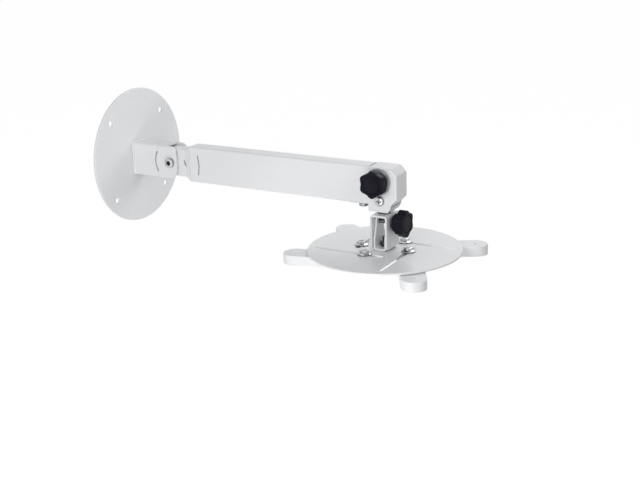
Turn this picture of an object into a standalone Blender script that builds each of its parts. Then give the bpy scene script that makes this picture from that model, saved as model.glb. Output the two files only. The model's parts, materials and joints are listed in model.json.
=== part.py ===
# Wall mount for a projector: a round wall plate, a telescopic arm, a folded
# tilting head and a slotted disc with four channel arms.
# World frame: origin at the centre of the wall plate's back face,
# +X out of the wall, +Z up, metres.

import math

import bmesh
import bpy
from mathutils import Vector

# Clearances and fasteners
FIT_GAP = 0.0003
BOLT_CLEARANCE = 0.0004
SLIDE_CLEARANCE = 0.0005
OVERSHOOT = 0.004
MERGE_DISTANCE = 0.000001
SMOOTH_ANGLE = 35.0
AXIS_MARK_SIZE = 0.02
EDGE_KNEE = 0.3
M8_RADIUS = 0.004
M8_ACROSS_FLATS = 0.013
M8_NUT_HEIGHT = 0.0065
M6_RADIUS = 0.003
M6_ACROSS_FLATS = 0.010
M6_NUT_HEIGHT = 0.005
THREAD_PAST_NUT = 0.0018

# Wall plate
PLATE_RADIUS = 0.095
PLATE_THICKNESS = 0.003
PLATE_RIM_ROUND = 0.0009
PLATE_HOLES = 4
PLATE_HOLE_INSET = 0.0175
PLATE_HOLE_RADIUS = 0.0045

# Folded sheet and the bracket on the wall plate
SHEET = 0.0025
BEND_RADIUS = 0.0035
ARM_LINE_DROP = 0.0025
PIVOT_X = 0.069
BRACKET_HALF_WIDTH = 0.0145
BRACKET_ABOVE_LINE = 0.0235
BRACKET_BELOW_LINE = 0.0225
BRACKET_CHEEK_PAST_PIVOT = 0.010
BRACKET_TOP_BEFORE_PIVOT = 0.007
BRACKET_LOW_CORNER = 0.013
BRACKET_HIGH_CORNER = 0.009
CHEEK_ARC_RADIUS = 0.026
CHEEK_ARC_HALF_ANGLE = 32.0
ARC_SLOT_WIDTH = 0.0024
PIVOT_HEAD_RADIUS = 0.0065
PIVOT_HEAD_HEIGHT = 0.0045
PIVOT_HEAD_CROWN = 0.0008
PIVOT_SOCKET_ACROSS_FLATS = 0.005
PIVOT_SOCKET_DEPTH = 0.0028
PIVOT_WASHER_RADIUS = 0.011
PIVOT_SLEEVE_WALL = 0.0017

# Arm: neck, outer tube, collar, lock
NECK_HALF_WIDTH = 0.010
NECK_BELOW_TUBE_TOP = 0.005
NECK_WALL = 0.0025
NECK_CORNER = 0.0025
NECK_END_X = 0.140
NECK_SLOT_FROM_PIVOT = 0.022
NECK_SLOT_LENGTH = 0.0065
NECK_SLOT_LEAN = 20.0
NECK_SLOT_WIDTH = 0.0024
COLLAR_START_X = 0.0945
COLLAR_LIP = 0.001
TUBE_START_X = 0.1013
TUBE_END_X = 0.380
TUBE_HALF_WIDTH = 0.0125
TUBE_HALF_HEIGHT = 0.025
TUBE_WALL = 0.002
TUBE_CORNER = 0.0025
TUBE_ARC_RADIUS = 0.0475
TUBE_ARC_HALF_ANGLE = 16.0
LOCK_FROM_END = 0.014
LOCK_PAD_LENGTH = 0.026
LOCK_PAD_LEAD = 0.019
LOCK_PAD_HALF_WIDTH = 0.006
LOCK_PAD_THICKNESS = 0.0015
LOCK_PAD_CORNER = 0.002
LOCK_HEAD_RADIUS = 0.006
LOCK_HEAD_HEIGHT = 0.004
LOCK_HEAD_CROWN = 0.001

# Extension tube and its lugs
INNER_START_X = 0.145
INNER_WALL = 0.002
INNER_CORNER = 0.002
INNER_SET_BACK = 0.002
LUG_SIDE_FALL = 0.003
LUG_ARC_HALF_ANGLE = 100.0

# Head
TILT_ABOVE_LINE = 0.007
HOOD_HALF_WIDTH = 0.0155
HOOD_GAP_TO_TUBE = 0.001
HOOD_TOP_SET_BACK = 0.0013
HOOD_WEB_SET_BACK = 0.005
HOOD_REACH = 0.025
HOOD_FACET = 0.0085
HOOD_DROP_BELOW_TUBE = 0.0075
HOOD_LOWER_STEP = 0.009
HOOD_FOOT_TAPER = 0.004
HOOD_BEND = 0.0022
CROSS_BOLT_FORWARD = 0.0015
CROSS_BOLT_DROP = 0.025
CROSS_HEAD_RADIUS = 0.0062
CROSS_HEAD_HEIGHT = 0.0035
CROSS_HEAD_CROWN = 0.0018
FRICTION_WASHER_INSIDE_LUG = 0.002
FRICTION_WASHER_TO_TUBE = 0.0025
KNOB_WASHER_RADIUS = 0.0125
KNOB_WASHER_THICKNESS = 0.0016
ROLL_WASHER_RADIUS = 0.008
ROLL_WASHER_THICKNESS = 0.003

# Clamp knobs
KNOB_RADIUS = 0.0168
KNOB_LOBE_HEIGHT = 0.0009
KNOB_LOBES = 6
KNOB_LOBE_TURN = 90.0
KNOB_HUB_RADIUS = 0.012
KNOB_HUB_LENGTH = 0.0045
KNOB_LENGTH = 0.0173
KNOB_EDGE_ROUND = 0.0016
KNOB_DISH_RADIUS = 0.0115
KNOB_DISH_DEPTH = 0.0008
KNOB_SKIN = 0.003

# Roll yoke and cradle
YOKE_GAP_TO_HOOD = 0.0045
YOKE_HALF_LENGTH = 0.012
YOKE_HALF_WIDTH = 0.0172
YOKE_FOOT_ROUND = 0.003
ROLL_BELOW_YOKE_TOP = 0.0115
SPACER_RADIUS = 0.008
RIVET_RADIUS = 0.0039
RIVET_TOP_RADIUS = 0.0065
RIVET_LOW_RADIUS = 0.005
RIVET_HEAD_HEIGHT = 0.0022
CRADLE_WEB_BELOW_ROLL = 0.0359
CRADLE_HALF_WIDTH = 0.014
CRADLE_EYE_RADIUS = 0.0087
CRADLE_SHOULDER = 0.015
CRADLE_EYE_SPREAD = 15.0
YOKE_FOOT_ABOVE_DISC = 0.003
SWIVEL_HEAD_RADIUS = 0.0055
SWIVEL_HEAD_HEIGHT = 0.004
SWIVEL_HEAD_CROWN = 0.0015
SWIVEL_THREAD_UP = 0.017
SWIVEL_WASHER_RADIUS = 0.005
SWIVEL_WASHER_THICKNESS = 0.0012

# Slotted disc
DISC_RADIUS = 0.100
DISC_THICKNESS = 0.003
DISC_RIM_ROUND = 0.0009
SLOT_OFFSET = 0.0335
SLOT_INNER_END = 0.011
SLOT_RIM_MARGIN = 0.0142

# Channel arms on the disc
ARM_LENGTH = 0.092
ARM_HALF_WIDTH = 0.016
ARM_DEPTH = 0.013
ARM_SHEET = 0.002
ARM_EDGE_ROUND = 0.0012
ARM_END_HOLE_RADIUS = 0.0025
ARM_BOLT_HEAD_RADIUS = 0.005
ARM_BOLT_HEAD_HEIGHT = 0.0035
ARM_BOLT_HEAD_CROWN = 0.001
FLANGE_RADIUS = 0.009
FLANGE_THICKNESS = 0.0012
FLANGE_SLOPE = 0.0016
FLANGE_NUT_HEIGHT = 0.0058
# Per station: slot's outward direction, bolt's place along the slot, arm's turn from that direction
STATIONS = {
    "left": (180.0, 0.012, 13.0),
    "front": (270.0, 0.0, 30.1),
    "right": (0.0, 0.012, 27.4),
    "rear": (90.0, 0.0, 40.7),
}

# Facets of round shapes
FINE = 72
ROUND = 32
SMALL = 16
CORNER_STEPS = 3
RIM_STEPS = 2
KNOB_STEPS = 48

# Levels and places that follow from the sizes
arm_z = -ARM_LINE_DROP
plate_hole_circle = PLATE_RADIUS - PLATE_HOLE_INSET
bracket_top = arm_z + BRACKET_ABOVE_LINE
bracket_bottom = arm_z - BRACKET_BELOW_LINE
bracket_reach = PIVOT_X + BRACKET_CHEEK_PAST_PIVOT
m8_hole = M8_RADIUS + BOLT_CLEARANCE
m6_hole = M6_RADIUS + BOLT_CLEARANCE
tube_top = arm_z + TUBE_HALF_HEIGHT
tube_bottom = arm_z - TUBE_HALF_HEIGHT
neck_half_height = TUBE_HALF_HEIGHT - NECK_BELOW_TUBE_TOP
inner_half_width = TUBE_HALF_WIDTH - TUBE_WALL - SLIDE_CLEARANCE
inner_half_height = TUBE_HALF_HEIGHT - TUBE_WALL - SLIDE_CLEARANCE
inner_end_x = TUBE_END_X - INNER_SET_BACK
tilt_z = arm_z + TILT_ABOVE_LINE
hood_start = TUBE_END_X + HOOD_GAP_TO_TUBE
hood_top = tube_top
hood_bottom = tube_bottom - HOOD_DROP_BELOW_TUBE
lug_radius = hood_top - SHEET - tilt_z - SLIDE_CLEARANCE
friction_washer_radius = lug_radius - FRICTION_WASHER_INSIDE_LUG
head_x = TUBE_END_X + FRICTION_WASHER_TO_TUBE + friction_washer_radius
hood_end = head_x + HOOD_REACH
yoke_top = hood_bottom - YOKE_GAP_TO_HOOD
roll_z = yoke_top - ROLL_BELOW_YOKE_TOP
cradle_bottom = roll_z - CRADLE_WEB_BELOW_ROLL
disc_top = cradle_bottom - FIT_GAP
disc_bottom = disc_top - DISC_THICKNESS
yoke_bottom = disc_top + YOKE_FOOT_ABOVE_DISC
arm_top = disc_bottom - FIT_GAP
slot_outer_end = math.sqrt((DISC_RADIUS - SLOT_RIM_MARGIN) ** 2 - SLOT_OFFSET ** 2)

FINISHES = {
    "powder_white": ((0.80, 0.81, 0.83), 0.32, 0.0),
    "black_plastic": ((0.022, 0.022, 0.028), 0.45, 0.0),
    "bright_zinc": ((0.74, 0.75, 0.77), 0.22, 1.0),
    "dark_steel": ((0.16, 0.16, 0.17), 0.35, 1.0),
    "nylon": ((0.78, 0.78, 0.76), 0.5, 0.0),
}


# Outlines, as lists of points in a plane

def arc(cu, cv, radius, start, end, steps):
    angles = [math.radians(start + (end - start) * i / steps) for i in range(steps + 1)]
    return [(cu + radius * math.cos(a), cv + radius * math.sin(a)) for a in angles]


def circle(cu, cv, radius, steps=SMALL):
    return arc(cu, cv, radius, 0, 360, steps)[:-1]


def rounded_box(cu, cv, half_u, half_v, radius):
    corners = ((1, 1, 0), (-1, 1, 90), (-1, -1, 180), (1, -1, 270))
    points = []
    for su, sv, start in corners:
        centre = (cu + su * (half_u - radius), cv + sv * (half_v - radius))
        points += arc(*centre, radius, start, start + 90, CORNER_STEPS)
    return points


def rectangle(u0, v0, u1, v1):
    return [(u0, v0), (u1, v0), (u1, v1), (u0, v1)]


def hexagon(cu, cv, across_flats):
    return arc(cu, cv, across_flats / 2 / math.cos(math.pi / 6), 0, 360, 6)[:-1]


def capsule(u0, v0, u1, v1, radius, steps=SMALL // 2):
    lean = math.degrees(math.atan2(v1 - v0, u1 - u0))
    far_end = arc(u1, v1, radius, lean - 90, lean + 90, steps)
    near_end = arc(u0, v0, radius, lean + 90, lean + 270, steps)
    return far_end + near_end


def arc_slot(cu, cv, radius, middle, half_angle, width):
    low, high = middle - half_angle, middle + half_angle
    ends = [arc(cu, cv, radius, a, a + 1, 1)[0] for a in (low, high)]
    outline = arc(cu, cv, radius + width / 2, low, high, SMALL // 2)
    outline += arc(*ends[1], width / 2, high, high + 180, CORNER_STEPS)[1:-1]
    outline += arc(cu, cv, radius - width / 2, high, low, SMALL // 2)
    outline += arc(*ends[0], width / 2, low + 180, low + 360, CORNER_STEPS)[1:-1]
    return outline


def channel(half_width, closed, opened):
    # A folded U of sheet: its web at the closed level, its legs' ends at the opened one
    sign = 1 if closed > opened else -1
    depth = abs(closed - opened)
    inner = BEND_RADIUS - SHEET
    side = half_width - BEND_RADIUS
    points = [(-half_width, depth)]
    points += arc(-side, BEND_RADIUS, BEND_RADIUS, 180, 270, CORNER_STEPS)
    points += arc(side, BEND_RADIUS, BEND_RADIUS, 270, 360, CORNER_STEPS)
    points += [(half_width, depth), (half_width - SHEET, depth)]
    points += arc(side, BEND_RADIUS, inner, 360, 270, CORNER_STEPS)
    points += arc(-side, BEND_RADIUS, inner, 270, 180, CORNER_STEPS)
    points += [(SHEET - half_width, depth)]
    return [(u, closed - sign * d) for u, d in points]


def lobed(cu, cv, radius, lobe_height, steps):
    points = []
    for i in range(steps):
        angle = 2 * math.pi * i / steps
        r = radius + lobe_height * math.cos(KNOB_LOBES * (angle - math.radians(KNOB_LOBE_TURN)))
        points.append((cu + r * math.cos(angle), cv + r * math.sin(angle)))
    return points


# Bodies that move: an empty on each joint's axis

origins = {}


def add_body(name, parent, at, turn=0.0):
    empty = bpy.data.objects.new(name, None)
    empty.empty_display_size = AXIS_MARK_SIZE
    bpy.context.scene.collection.objects.link(empty)
    origins[name] = Vector(at)
    if parent:
        empty.parent = bpy.data.objects[parent]
        empty.location = Vector(at) - origins[parent]
    empty.rotation_euler.z = math.radians(turn)
    return name


# Solids

def point_at(axis, u, v, along):
    return Vector({"x": (along, u, v), "y": (u, along, v), "z": (u, v, along)}[axis])


def finish_of(name):
    material = bpy.data.materials.get(name)
    if material:
        return material
    color, roughness, metallic = FINISHES[name]
    material = bpy.data.materials.new(name)
    material.use_nodes = True
    material.diffuse_color = (*color, 1)
    shader = material.node_tree.nodes["Principled BSDF"]
    shader.inputs["Base Color"].default_value = (*color, 1)
    shader.inputs["Roughness"].default_value = roughness
    shader.inputs["Metallic"].default_value = metallic
    return material


def add_piece(name, bm, body, finish, local=False):
    # Points are in the world frame, or in the body's own frame when local
    if not local:
        bmesh.ops.translate(bm, verts=bm.verts, vec=-origins[body])
    bmesh.ops.recalc_face_normals(bm, faces=bm.faces)
    mesh = bpy.data.meshes.new(name)
    bm.to_mesh(mesh)
    bm.free()
    mesh.shade_smooth()
    mesh.set_sharp_from_angle(angle=math.radians(SMOOTH_ANGLE))
    piece = bpy.data.objects.new(name, mesh)
    bpy.context.scene.collection.objects.link(piece)
    piece.parent = bpy.data.objects[body]
    if finish:
        mesh.materials.append(finish_of(finish))
    else:
        piece.hide_render = True
        piece.display_type = "WIRE"
    return piece


def prism(name, outlines, axis, low, high, body, finish=None, local=False, bend=None):
    bm = bmesh.new()
    for outline in outlines:
        face = bm.faces.new([bm.verts.new(point_at(axis, u, v, low)) for u, v in outline])
        grown = bmesh.ops.extrude_face_region(bm, geom=[face])["geom"]
        moved = [item for item in grown if isinstance(item, bmesh.types.BMVert)]
        bmesh.ops.translate(bm, verts=moved, vec=point_at(axis, 0, 0, high - low))
    if bend:
        bend(bm)
    return add_piece(name, bm, body, finish, local)


def turned(name, profile, axis, u, v, body, finish, steps=SMALL):
    # A profile of (radius, place along the axis), turned about the axis through (u, v)
    bm = bmesh.new()
    verts = [bm.verts.new(point_at(axis, r, 0, h)) for r, h in profile]
    pairs = list(zip(verts, verts[1:] + verts[:1]))
    on_axis = {vert for vert, (r, h) in zip(verts, profile) if r == 0}
    edges = [bm.edges.new(pair) for pair in pairs if not on_axis.issuperset(pair)]
    direction = point_at(axis, 0, 0, 1)
    bmesh.ops.spin(bm, geom=verts + edges, cent=(0, 0, 0), axis=direction,
                   angle=2 * math.pi, steps=steps, use_merge=True)
    bmesh.ops.remove_doubles(bm, verts=bm.verts, dist=MERGE_DISTANCE)
    bmesh.ops.translate(bm, verts=bm.verts, vec=point_at(axis, u, v, 0))
    return add_piece(name, bm, body, finish)


def loft(name, rings, axis, body, finish=None, local=False):
    # Rings of (outline, place along the axis), skinned in turn and capped
    bm = bmesh.new()
    loops = [[bm.verts.new(point_at(axis, u, v, h)) for u, v in outline] for outline, h in rings]
    for lower, upper in zip(loops, loops[1:]):
        for i in range(len(lower)):
            bm.faces.new((lower[i - 1], lower[i], upper[i], upper[i - 1]))
    bm.faces.new(loops[0])
    bm.faces.new(loops[-1])
    return add_piece(name, bm, body, finish, local)


def combine(piece, other, operation):
    step = piece.modifiers.new(other.name, "BOOLEAN")
    step.operation = operation
    step.object = other
    step.solver = "EXACT"


def cut(piece, *cutters):
    for cutter in cutters:
        combine(piece, cutter, "DIFFERENCE")


def washer(name, axis, u, v, low, high, outer, bore, body, finish):
    profile = [(bore, low), (outer, low), (outer, high), (bore, high)]
    return turned(name, profile, axis, u, v, body, finish)


def hex_nut(name, axis, u, v, low, high, across_flats, bore, body, finish):
    nut = prism(name, [hexagon(u, v, across_flats)], axis, low, high, body, finish)
    hole = prism(name + "_bore", [circle(u, v, bore)], axis, low - OVERSHOOT, high + OVERSHOOT, body)
    cut(nut, hole)
    return nut


def headed_pin(name, axis, u, v, head_out, head_in, tip, head_radius, radius, crown, body, finish):
    # Head from head_out to head_in with a rounded crown, then the shank to its tip
    sign = 1 if head_in > head_out else -1
    knee = crown * EDGE_KNEE
    profile = [(0, head_out), (head_radius - crown, head_out), (head_radius - knee, head_out + sign * knee),
               (head_radius, head_out + sign * crown), (head_radius, head_in),
               (radius, head_in), (radius, tip), (0, tip)]
    return turned(name, profile, axis, u, v, body, finish)


def disc_profile(radius, low, high, edge):
    outer = arc(radius - edge, high - edge, edge, 0, 90, RIM_STEPS)
    return [(0, low)] + arc(radius - edge, low + edge, edge, -90, 0, RIM_STEPS) + outer + [(0, high)]


def clamp_knob(name, axis, u, v, start, toward, bore, bore_end, body):
    # Lobed knob on a round hub, dished in its face, with a blind bore for its stud
    steps = KNOB_STEPS
    hub = circle(u, v, KNOB_HUB_RADIUS, steps)
    small = lobed(u, v, KNOB_RADIUS - KNOB_EDGE_ROUND, KNOB_LOBE_HEIGHT / 2, steps)
    mid = lobed(u, v, KNOB_RADIUS - KNOB_EDGE_ROUND * EDGE_KNEE, KNOB_LOBE_HEIGHT, steps)
    full = lobed(u, v, KNOB_RADIUS, KNOB_LOBE_HEIGHT, steps)
    dish = circle(u, v, KNOB_DISH_RADIUS, steps)
    floor = circle(u, v, KNOB_DISH_RADIUS - KNOB_DISH_DEPTH, steps)
    face = start + toward * KNOB_LENGTH
    shoulder = start + toward * KNOB_HUB_LENGTH
    rings = [(hub, start), (hub, shoulder), (small, shoulder),
             (full, shoulder + toward * KNOB_EDGE_ROUND), (full, face - toward * KNOB_EDGE_ROUND),
             (mid, face - toward * KNOB_EDGE_ROUND * EDGE_KNEE), (small, face),
             (dish, face), (floor, face - toward * KNOB_DISH_DEPTH)]
    knob = loft(name, rings, axis, body, "black_plastic")
    ends = sorted((start - toward * OVERSHOOT, bore_end))
    cut(knob, prism(name + "_bore", [circle(u, v, bore)], axis, *ends, body))
    return knob


# Wall plate and its bracket

def build_wall():
    plate = turned("wall_plate", disc_profile(PLATE_RADIUS, 0, PLATE_THICKNESS, PLATE_RIM_ROUND),
                   "x", 0, 0, "wall_axis", "powder_white", FINE)
    holes = []
    for i in range(PLATE_HOLES):
        angle = 2 * math.pi * (i + 0.5) / PLATE_HOLES
        centre = (plate_hole_circle * math.cos(angle), plate_hole_circle * math.sin(angle))
        holes.append(circle(*centre, PLATE_HOLE_RADIUS))
    cut(plate, prism("plate_holes", holes, "x", -OVERSHOOT, PLATE_THICKNESS + OVERSHOOT, "wall_axis"))

    start = PLATE_THICKNESS + FIT_GAP
    bracket = prism("wall_bracket", [channel(BRACKET_HALF_WIDTH, bracket_top, bracket_bottom)],
                    "x", start, bracket_reach + OVERSHOOT, "wall_axis", "powder_white")
    low, high = BRACKET_LOW_CORNER, BRACKET_HIGH_CORNER
    side = [(start - OVERSHOOT, bracket_bottom - OVERSHOOT),
            (bracket_reach - low, bracket_bottom - OVERSHOOT)]
    side += arc(bracket_reach - low, bracket_bottom + low, low, -90, 0, ROUND // 4)
    side += arc(bracket_reach - high, bracket_top - high, high, 0, 90, ROUND // 4)
    side += [(bracket_reach - high, bracket_top + OVERSHOOT), (start - OVERSHOOT, bracket_top + OVERSHOOT)]
    wide = BRACKET_HALF_WIDTH + OVERSHOOT
    combine(bracket, prism("bracket_side", [side], "y", -wide, wide, "wall_axis"), "INTERSECT")
    inside = BRACKET_HALF_WIDTH - SHEET
    notch = rectangle(PIVOT_X - BRACKET_TOP_BEFORE_PIVOT, -inside, bracket_reach + OVERSHOOT, inside)
    through = [arc_slot(PIVOT_X, arm_z, CHEEK_ARC_RADIUS, 180, CHEEK_ARC_HALF_ANGLE, ARC_SLOT_WIDTH),
               circle(PIVOT_X, arm_z, m8_hole)]
    cut(bracket,
        prism("bracket_notch", [notch], "z", bracket_bottom - OVERSHOOT, bracket_top + OVERSHOOT,
              "wall_axis"),
        prism("bracket_holes", through, "y", -wide, wide, "wall_axis"))


def build_pivot():
    outer = BRACKET_HALF_WIDTH + FIT_GAP
    tip = outer + M8_NUT_HEIGHT + THREAD_PAST_NUT
    bolt = headed_pin("pivot_bolt", "y", PIVOT_X, arm_z, -outer - PIVOT_HEAD_HEIGHT, -outer, tip,
                      PIVOT_HEAD_RADIUS, M8_RADIUS, PIVOT_HEAD_CROWN, "wall_axis", "bright_zinc")
    face = -outer - PIVOT_HEAD_HEIGHT
    socket = hexagon(PIVOT_X, arm_z, PIVOT_SOCKET_ACROSS_FLATS)
    cut(bolt, prism("pivot_socket", [socket], "y", face - OVERSHOOT, face + PIVOT_SOCKET_DEPTH, "wall_axis"))
    hex_nut("pivot_nut", "y", PIVOT_X, arm_z, outer, outer + M8_NUT_HEIGHT, M8_ACROSS_FLATS,
            M8_RADIUS + FIT_GAP, "wall_axis", "bright_zinc")
    inner = NECK_HALF_WIDTH + FIT_GAP
    limit = BRACKET_HALF_WIDTH - SHEET - FIT_GAP
    washer("pivot_washer_front", "y", PIVOT_X, arm_z, -limit, -inner, PIVOT_WASHER_RADIUS,
           m8_hole, "wall_axis", "nylon")
    washer("pivot_washer_rear", "y", PIVOT_X, arm_z, inner, limit, PIVOT_WASHER_RADIUS,
           m8_hole, "wall_axis", "nylon")


# Arm that pitches on the wall bracket

def build_arm():
    tail = PIVOT_X - neck_half_height
    neck = prism("arm_neck", [rounded_box(0, arm_z, NECK_HALF_WIDTH, neck_half_height, NECK_CORNER)],
                 "x", tail - OVERSHOOT, NECK_END_X, "arm_axis", "powder_white")
    hollow_half = NECK_HALF_WIDTH - NECK_WALL
    hollow = rounded_box(0, arm_z, hollow_half, neck_half_height - NECK_WALL, NECK_CORNER / 2)
    over = neck_half_height + OVERSHOOT
    side = arc(PIVOT_X, arm_z, neck_half_height, 90, 270, ROUND // 2)
    side += [(PIVOT_X, arm_z - over), (NECK_END_X + OVERSHOOT, arm_z - over),
             (NECK_END_X + OVERSHOOT, arm_z + over), (PIVOT_X, arm_z + over)]
    wide = TUBE_HALF_WIDTH + OVERSHOOT
    lean = math.radians(NECK_SLOT_LEAN)
    run = NECK_SLOT_LENGTH / 2
    middle = PIVOT_X + NECK_SLOT_FROM_PIVOT
    slot = capsule(middle - run * math.sin(lean), arm_z + run * math.cos(lean),
                   middle + run * math.sin(lean), arm_z - run * math.cos(lean), NECK_SLOT_WIDTH / 2,
                   2 * CORNER_STEPS)
    sleeve_radius = m8_hole + PIVOT_SLEEVE_WALL
    cut(neck, prism("neck_hollow", [hollow], "x", tail - 2 * OVERSHOOT, NECK_END_X + OVERSHOOT, "arm_axis"))
    combine(neck, prism("neck_side", [side], "y", -wide, wide, "arm_axis"), "INTERSECT")
    fork = rectangle(tail - 2 * OVERSHOOT, -hollow_half, PIVOT_X, hollow_half)
    cut(neck, prism("neck_fork", [fork], "z", arm_z - over, arm_z + over, "arm_axis"),
        prism("neck_holes", [circle(PIVOT_X, arm_z, sleeve_radius + FIT_GAP), slot], "y", -wide, wide,
              "arm_axis"))
    washer("pivot_sleeve", "y", PIVOT_X, arm_z, -NECK_HALF_WIDTH, NECK_HALF_WIDTH, sleeve_radius,
           m8_hole, "arm_axis", "bright_zinc")

    tube = prism("outer_tube", [rounded_box(0, arm_z, TUBE_HALF_WIDTH, TUBE_HALF_HEIGHT, TUBE_CORNER)],
                 "x", TUBE_START_X, TUBE_END_X, "arm_axis", "powder_white")
    bore = rounded_box(0, arm_z, TUBE_HALF_WIDTH - TUBE_WALL, TUBE_HALF_HEIGHT - TUBE_WALL, TUBE_CORNER / 2)
    lock_x = TUBE_END_X - LOCK_FROM_END
    arc_mark = arc_slot(PIVOT_X, arm_z, TUBE_ARC_RADIUS, 0, TUBE_ARC_HALF_ANGLE, ARC_SLOT_WIDTH)
    lock_hole = circle(lock_x, 0, m6_hole)
    cut(tube, prism("tube_bore", [bore], "x", TUBE_START_X - OVERSHOOT, TUBE_END_X + OVERSHOOT, "arm_axis"),
        prism("tube_arc", [arc_mark], "y", -wide, wide, "arm_axis"),
        prism("tube_lock_hole", [lock_hole], "z", tube_bottom - OVERSHOOT, tube_bottom + TUBE_WALL + FIT_GAP,
              "arm_axis"))

    neck_fit = (NECK_HALF_WIDTH + FIT_GAP, neck_half_height + FIT_GAP)
    small = rounded_box(0, arm_z, neck_fit[0] + COLLAR_LIP, neck_fit[1] + COLLAR_LIP, NECK_CORNER)
    large = rounded_box(0, arm_z, TUBE_HALF_WIDTH, TUBE_HALF_HEIGHT, TUBE_CORNER)
    collar = loft("tube_collar", [(small, COLLAR_START_X), (large, TUBE_START_X - FIT_GAP)], "x",
                  "arm_axis", "powder_white")
    fit = rounded_box(0, arm_z, *neck_fit, NECK_CORNER)
    cut(collar, prism("collar_bore", [fit], "x", COLLAR_START_X - OVERSHOOT, TUBE_START_X + OVERSHOOT,
                      "arm_axis"))

    pad_top = tube_bottom - FIT_GAP
    pad_bottom = pad_top - LOCK_PAD_THICKNESS
    pad_middle = lock_x - LOCK_PAD_LEAD + LOCK_PAD_LENGTH / 2
    pad_outline = rounded_box(pad_middle, 0, LOCK_PAD_LENGTH / 2, LOCK_PAD_HALF_WIDTH, LOCK_PAD_CORNER)
    pad = prism("lock_pad", [pad_outline], "z", pad_bottom, pad_top, "arm_axis", "powder_white")
    cut(pad, prism("pad_hole", [lock_hole], "z", pad_bottom - OVERSHOOT, pad_top + OVERSHOOT, "arm_axis"))
    head_top = pad_bottom - FIT_GAP
    headed_pin("lock_screw", "z", lock_x, 0, head_top - LOCK_HEAD_HEIGHT, head_top,
               arm_z - inner_half_height - FIT_GAP, LOCK_HEAD_RADIUS, M6_RADIUS, LOCK_HEAD_CROWN,
               "arm_axis", "bright_zinc")


# Extension tube that slides in the arm, with two lugs for the head

def build_extension():
    z = arm_z
    tip = head_x + lug_radius + OVERSHOOT
    tube = prism("inner_tube", [rounded_box(0, z, inner_half_width, inner_half_height, INNER_CORNER)],
                 "x", INNER_START_X, tip, "extension_axis", "powder_white")
    wall_in = inner_half_width - INNER_WALL
    hollow = rounded_box(0, z, wall_in, inner_half_height - INNER_WALL, INNER_CORNER / 2)
    over = inner_half_height + OVERSHOOT
    fall = lug_radius - LUG_SIDE_FALL
    side = [(INNER_START_X - OVERSHOOT, z - over), (inner_end_x, z - over), (inner_end_x, tilt_z - fall)]
    side += arc(head_x, tilt_z, lug_radius, -LUG_ARC_HALF_ANGLE, LUG_ARC_HALF_ANGLE, ROUND // 2)
    side += [(inner_end_x, tilt_z + fall), (inner_end_x, z + over), (INNER_START_X - OVERSHOOT, z + over)]
    wide = inner_half_width + OVERSHOOT
    cut(tube, prism("inner_hollow", [hollow], "x", INNER_START_X - OVERSHOOT, tip + OVERSHOOT,
                    "extension_axis"))
    combine(tube, prism("inner_side", [side], "y", -wide, wide, "extension_axis"), "INTERSECT")
    gap = rectangle(inner_end_x, -wall_in, tip + OVERSHOOT, wall_in)
    cut(tube, prism("inner_gap", [gap], "z", z - over, z + over, "extension_axis"),
        prism("inner_eye", [circle(head_x, tilt_z, m8_hole)], "y", -wide, wide, "extension_axis"))


# Head that tilts on the lugs

def fold_hood_edges(bm):
    # Round the folds along the top, the facets and the end face
    def on_fold(vert):
        high = vert.co.z > hood_bottom + HOOD_LOWER_STEP - FIT_GAP
        return high and vert.co.x > hood_start + FIT_GAP or vert.co.z > hood_top - FIT_GAP

    folds = [edge for edge in bm.edges
             if all(on_fold(vert) for vert in edge.verts)
             and abs(edge.verts[0].co.y - edge.verts[1].co.y) < FIT_GAP]
    bmesh.ops.bevel(bm, geom=folds, offset=HOOD_BEND, segments=3, profile=0.5, affect="EDGES")


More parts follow.
